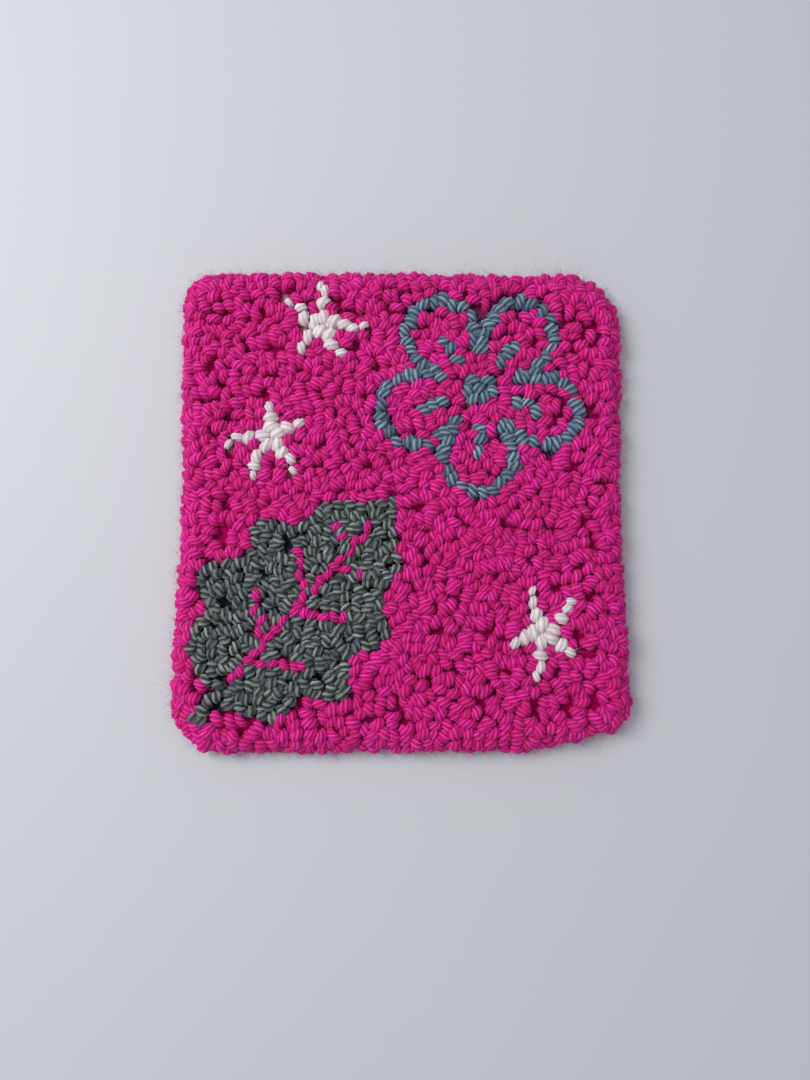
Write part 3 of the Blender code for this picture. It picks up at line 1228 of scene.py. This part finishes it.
@dataclass
class LoopPile:
    """The pile: loops of each wool as one piece, and the pink ground as several."""

    pile: Loops
    ground_bands: int = 2
    seed: int = SEED + 100

    def build(self, materials: dict[Wool, bpy.types.Material]) -> list[bpy.types.Object]:
        """Makes the pieces.

        Args:
            materials: the material of each wool.

        Returns:
            One piece for each motif wool, and bands of the pink ground from near to far.
        """
        rng = np.random.default_rng(self.seed)
        pieces = []
        for index, wool in enumerate(WOOLS):
            chosen = self.pile.wool == index
            bands = self.ground_bands if wool is Wool.PINK else 1
            rank = np.argsort(np.argsort(self.pile.root[:, 1] + 1000 * ~chosen))
            band = np.where(chosen, rank * bands // max(1, chosen.sum()), -1)
            for part in range(bands):
                loops = self.pile.pick(band == part)
                name = f"{wool.value}_loops" + (f"_{part + 1}" if bands > 1 else "")
                piece = loops.tubes(YARNS[wool], rng).skin().make(name)
                pieces.append(finish_piece(piece, materials[wool]))
        return pieces


@dataclass
class PileBed:
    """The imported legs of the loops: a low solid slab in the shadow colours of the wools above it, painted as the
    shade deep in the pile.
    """

    shape: RugShape
    pile: Loops
    top: float = 5.6 * MM
    bottom: float = 1.5 * MM
    edge_inset: float = 3.6 * MM
    shoulder: float = 4.5 * MM
    around: int = 240
    rings: int = 34

    def build(self, shadow_colours: Array) -> bpy.types.Object:
        """Makes the slab from rings that shrink to its middle, above and below.

        The top is flat and turns down over the shoulder as a quarter of an oval. Each point takes the painted shadow
        colour of the nearest loop's wool.

        Args:
            shadow_colours: the shadow colour of each wool, painted as the shade deep in the pile, shape (wools, 4).

        Returns:
            The piece.
        """
        turn = np.linspace(0, math.pi / 2, 7)
        insets = np.concatenate([
            [self.edge_inset],
            self.edge_inset + self.shoulder * (1 - np.cos(turn)),
            np.linspace(self.edge_inset + self.shoulder, 76 * MM, self.rings)[1:-1],
        ])
        heights = np.concatenate([
            [self.bottom],
            self.bottom + 0.5 * MM + (self.top - self.bottom - 0.5 * MM) * np.sin(turn),
            np.full(self.rings - 2, self.top),
        ])
        rings = [
            np.column_stack([self.shape.ring(inset, self.around), np.full(self.around, height)])
            for inset, height in zip(insets, heights)
        ]
        points = np.concatenate([*rings, [[0, 0, self.top]], [[0, 0, self.bottom]]])
        column, ring = np.meshgrid(np.arange(self.around), np.arange(len(rings) - 1))
        after = (column + 1) % self.around
        quads = np.stack(
            [ring * self.around + column, ring * self.around + after, (ring + 1) * self.around + after, (ring + 1) * self.around + column],
            axis=-1,
        ).reshape(-1, 4)
        column = np.arange(self.around)
        after = (column + 1) % self.around
        last = (len(rings) - 1) * self.around
        top_fan = np.stack([last + column, last + after, np.full(self.around, len(points) - 2)], axis=1)
        bottom_fan = np.stack([after, column, np.full(self.around, len(points) - 1)], axis=1)
        crowns = self.pile.crown()[:, :2]
        nearest = np.concatenate([
            np.linalg.norm(part[:, None, :2] - crowns[None], axis=2).argmin(axis=1)
            for part in np.array_split(points, 12)
        ])
        skin = Skin(
            points=points,
            faces=[quads, top_fan, bottom_fan],
            colours={"wool_shade": shadow_colours[self.pile.wool[nearest]]},
        )
        return finish_piece(skin.make("pile_bed"), BedFinish().material())


@dataclass
class FoundationCloth:
    """The foundation cloth, with its edge turned under as a hem."""

    shape: RugShape
    upper: float = 1.95 * MM
    layer: float = 0.48 * MM
    edge_inset: float = 4.4 * MM
    hem: float = 11 * MM
    around: int = 240

    def profile(self) -> Array:
        """The cloth's section as (inset, height) rows: out over the top, round the fold, under and back."""
        middle = 76 * MM
        spread = np.linspace(middle, self.edge_inset + MM, 24)[1:]
        fold = self.edge_inset + self.layer
        mid_height = self.upper - self.layer - 0.03 * MM
        bend = np.linspace(math.pi / 2, -math.pi / 2, 7)
        outer_half = self.layer + 0.03 * MM
        outer = np.column_stack([fold - outer_half * np.cos(bend), mid_height + outer_half * np.sin(bend)])
        inner = np.column_stack([np.full(2, fold), [mid_height - 0.03 * MM, mid_height + 0.03 * MM]])
        hem_end = self.edge_inset + self.hem
        back = np.linspace(fold + MM, hem_end, 8)
        under = np.column_stack([back, np.full(8, mid_height - outer_half)])
        return_path = np.column_stack([back[::-1], np.full(8, mid_height - 0.03 * MM)])
        above = np.column_stack([spread, np.full(len(spread), self.upper)])
        below = np.column_stack([spread[::-1], np.full(len(spread), mid_height + 0.03 * MM)])
        return np.concatenate([above, outer, under, return_path, inner, below])

    def build(self) -> bpy.types.Object:
        profile = self.profile()
        rings = [
            np.column_stack([self.shape.ring(inset, self.around), np.full(self.around, height)])
            for inset, height in profile
        ]
        top, low = profile[0, 1], profile[-1, 1]
        points = np.concatenate([*rings, [[0, 0, top]], [[0, 0, low]]])
        column, ring = np.meshgrid(np.arange(self.around), np.arange(len(rings) - 1))
        after = (column + 1) % self.around
        quads = np.stack(
            [ring * self.around + after, ring * self.around + column, (ring + 1) * self.around + column, (ring + 1) * self.around + after],
            axis=-1,
        ).reshape(-1, 4)
        column = np.arange(self.around)
        after = (column + 1) % self.around
        last = (len(rings) - 1) * self.around
        top_fan = np.stack([column, after, np.full(self.around, len(points) - 2)], axis=1)
        low_fan = np.stack([last + after, last + column, np.full(self.around, len(points) - 1)], axis=1)
        piece = Skin(points=points, faces=[quads, top_fan, low_fan]).make("foundation_cloth")
        finish_piece(piece, ClothFinish().material())
        return piece


@dataclass
class BackStitches:
    """Flat stitches on the back, one for each loop that stands inside the hem's fold."""

    pile: Loops
    length: float = 4.1 * MM
    thickness: float = 0.62
    height: float = 0.78 * MM
    least_inset: float = 7.5 * MM
    seed: int = SEED + 200

    def build(self, shape: RugShape, materials: dict[Wool, bpy.types.Material]) -> list[bpy.types.Object]:
        """Makes a piece for each wool: short flat tubes that dip at both ends into the cloth.

        A stitch's line is length * s along its heading for s from -1/2 to 1/2, and it rises
        towards the cloth by the square of 2 * s.
        """
        rng = np.random.default_rng(self.seed)
        inset, _ = shape.inset_of(self.pile.root[:, :2])
        pieces = []
        for index, wool in enumerate(WOOLS):
            loops = self.pile.pick((self.pile.wool == index) & (inset > self.least_inset))
            count = len(loops)
            heading = square_to(loops.heading * (1, 1, 0), np.array([0.0, 0.0, 1.0]))
            share = np.linspace(-0.5, 0.5, 5)
            line = share[None, :, None] * self.length * heading[:, None, :]
            middle = loops.root[:, None, :] * (1, 1, 0) + line
            middle[..., 2] = self.height + 0.7 * MM * (2 * share) ** 4
            radius = loops.radius[:, None] * np.array([0.45, 0.8, 0.9, 0.8, 0.45])
            yarn = YARNS[wool]
            flat = replace(yarn, lobe=0.8 * yarn.lobe, lead=1.5 * yarn.lead, flatness=self.thickness, columns=6)
            tubes = YarnTubes(
                centre=middle,
                across=np.cross(np.array([0.0, 0.0, 1.0]), heading),
                radius=radius,
                phase=rng.uniform(0, 2 * math.pi, count),
                tone=rng.uniform(0, 1, count),
                depth=np.ones((count, 5)),
                yarn=flat,
            )
            piece = tubes.skin().make(f"{wool.value}_back_stitches")
            pieces.append(finish_piece(piece, materials[wool]))
        return pieces


@dataclass
class StrayFibres:
    """Fine fibres that stand out of the yarn and make its haze: thin curved hairs, closed at both ends."""

    pile: Loops
    per_loop: float = 7.0
    rim_share: float = 1.4
    thickness: float = 0.025 * MM
    length: float = 2.2 * MM
    seed: int = SEED + 300

    def build(self, shape: RugShape, materials: dict[Wool, bpy.types.Material]) -> list[bpy.types.Object]:
        """Makes one piece of hairs for each wool.

        A hair starts on the side of a loop's head and its line is start + length * (s * first +
        s * s * curl) for s from 0 to 1, where first points out of the yarn and curl to a side.

        Args:
            shape: the rug's outline, near which hairs are denser.
            materials: the material of each wool.

        Returns:
            The pieces.
        """
        rng = np.random.default_rng(self.seed)
        inset, _ = shape.inset_of(self.pile.crown()[:, :2])
        weight = np.where(inset < 5 * MM, self.rim_share, 1.0) * self.per_loop
        pieces = []
        for index, wool in enumerate(WOOLS):
            number = np.floor(weight * (self.pile.wool == index) + rng.uniform(0, 1, len(self.pile))).astype(int)
            owner = np.repeat(np.arange(len(self.pile)), np.where(self.pile.wool == index, number, 0))
            pieces.append(self._piece(wool, shape, self.pile.pick(owner), materials[wool], rng))
        return pieces

    def _piece(self, wool: Wool, shape: RugShape, loops: Loops, material: bpy.types.Material,
               rng: np.random.Generator) -> bpy.types.Object:
        """The hairs of one wool, one for each of these loops."""
        count = len(loops)
        across = np.cross(loops.aim, loops.heading)
        turn = rng.uniform(-1.5, 1.5, count)
        out = np.cos(turn)[:, None] * loops.aim + np.sin(turn)[:, None] * across
        along = rng.uniform(-0.5, 0.5, count) * loops.width
        start = loops.crown() + out * (0.95 * loops.radius)[:, None] + along[:, None] * loops.heading
        first = unit(0.35 * out + square_to(rng.normal(0, 1, (count, 3)), out))
        curl = rng.normal(0, 0.45, (count, 3))
        length = self.length * rng.lognormal(0, 0.35, count)
        share = np.linspace(0, 1, 3)
        line = start[:, None, :] + length[:, None, None] * (
            share[None, :, None] * first[:, None, :] + (share**2)[None, :, None] * curl[:, None, :]
        )
        top = shape.thickness + 1.2 * MM
        line[..., 2] = np.clip(line[..., 2], 2 * self.thickness, top)
        tubes = YarnTubes(
            centre=line,
            across=square_to(np.cross(first, rng.normal(0, 1, (count, 3))), first),
            radius=self.thickness * np.broadcast_to([1.0, 1.0, 0.6], (count, 3)),
            phase=rng.uniform(0, 2 * math.pi, count),
            tone=rng.uniform(0, 0.5, count),
            depth=np.ones((count, 3)),
            yarn=Yarn(radius=self.thickness, lobe=0.0, lead=1.0, spacing=0.0, flatness=1.0, columns=3),
        )
        return finish_piece(tubes.skin().make(f"{wool.value}_stray_fibres"), material)


# Stage


@dataclass(frozen=True)
class Studio:
    """A plain pale floor, soft light from the upper left, and the camera nearly overhead."""

    floor_half: float = 2.0
    floor_shade: Colour = (0.585, 0.60, 0.645, 1)
    tilt: float = 6.0
    lens: float = 26.0
    sensor: float = 36.0
    aim_height: float = 4 * MM
    distance: float = 256 * MM
    offset_x: float = 1.34 * MM
    offset_y: float = -38.39 * MM

    def floor(self) -> bpy.types.Object:
        """The floor under the rug."""
        half = self.floor_half
        corners = np.array([[-half, -half, 0], [half, -half, 0], [half, half, 0], [-half, half, 0]])
        floor = Skin(points=corners, faces=[np.array([[0, 1, 2, 3]])]).make("floor")
        graph = Graph(bpy.data.materials.new("pale_floor"))
        mottle = graph.noise(graph.place(), 6.0, 3.0)
        graph.put(
            graph.shader.inputs["Base Color"],
            graph.mix(graph.between(mottle, 0.3, 0.7, 0.0, 0.12), self.floor_shade, (0.68, 0.69, 0.71, 1)),
        )
        graph.put(graph.shader.inputs["Roughness"], 0.7)
        floor.data.materials.append(graph.material)
        return floor

    def light(self, name: str, place: tuple[float, float, float], size: float, watts: float, tint: tuple[float, float, float]) -> None:
        """An area light aimed at the rug."""
        lamp = bpy.data.lights.new(name, "AREA")
        lamp.shape = "DISK"
        lamp.size = size
        lamp.energy = watts
        lamp.color = tint
        holder = bpy.data.objects.new(name, lamp)
        holder.location = place
        holder.rotation_euler = (-Vector(place)).to_track_quat("-Z", "Y").to_euler()
        bpy.context.scene.collection.objects.link(holder)

    def camera(self) -> None:
        """The camera, tilted a little from straight down."""
        lens = bpy.data.cameras.new("camera")
        lens.lens = self.lens
        lens.sensor_width = self.sensor
        lens.clip_start = 10 * MM
        lens.clip_end = 10
        camera = bpy.data.objects.new("camera", lens)
        camera.location = (self.offset_x, self.offset_y, self.distance + self.aim_height)
        camera.rotation_euler = (math.radians(self.tilt), 0, 0)
        bpy.context.scene.collection.objects.link(camera)
        bpy.context.scene.camera = camera

    def build(self) -> None:
        """Sets the stage."""
        self.floor()
        self.light("window", (-0.55, 0.22, 0.65), 0.5, 5.4, (1.0, 0.99, 0.97))
        self.camera()
        world = bpy.data.worlds.new("soft_daylight")
        world.use_nodes = True
        sky = world.node_tree.nodes["Background"]
        sky.inputs["Color"].default_value = (0.95, 0.97, 1.0, 1)
        sky.inputs["Strength"].default_value = 0.5
        bpy.context.scene.world = world
        bpy.context.scene.view_settings.view_transform = "Standard"
        bpy.context.scene.view_settings.look = "None"


def main() -> None:
    """Builds the rug from its cloth up, then the stage."""
    logging.basicConfig(level=logging.INFO, format="%(message)s")
    shape = RugShape()
    LOG.info("outline: %.0f mm round", shape.perimeter / MM)
    materials = {wool: FINISHES[wool].material() for wool in WOOLS}
    # The shadow colour of each wool, painted on the bed as the shade deep in the pile.
    shadow_colours = np.array([FINISHES[wool].shadow for wool in WOOLS])
    pile = Pile(shape).loops()
    LoopPile(pile).build(materials)
    PileBed(shape, pile).build(shadow_colours)
    FoundationCloth(shape).build()
    BackStitches(pile).build(shape, materials)
    StrayFibres(pile).build(shape, materials)
    Studio().build()


if __name__ == "__main__":
    main()
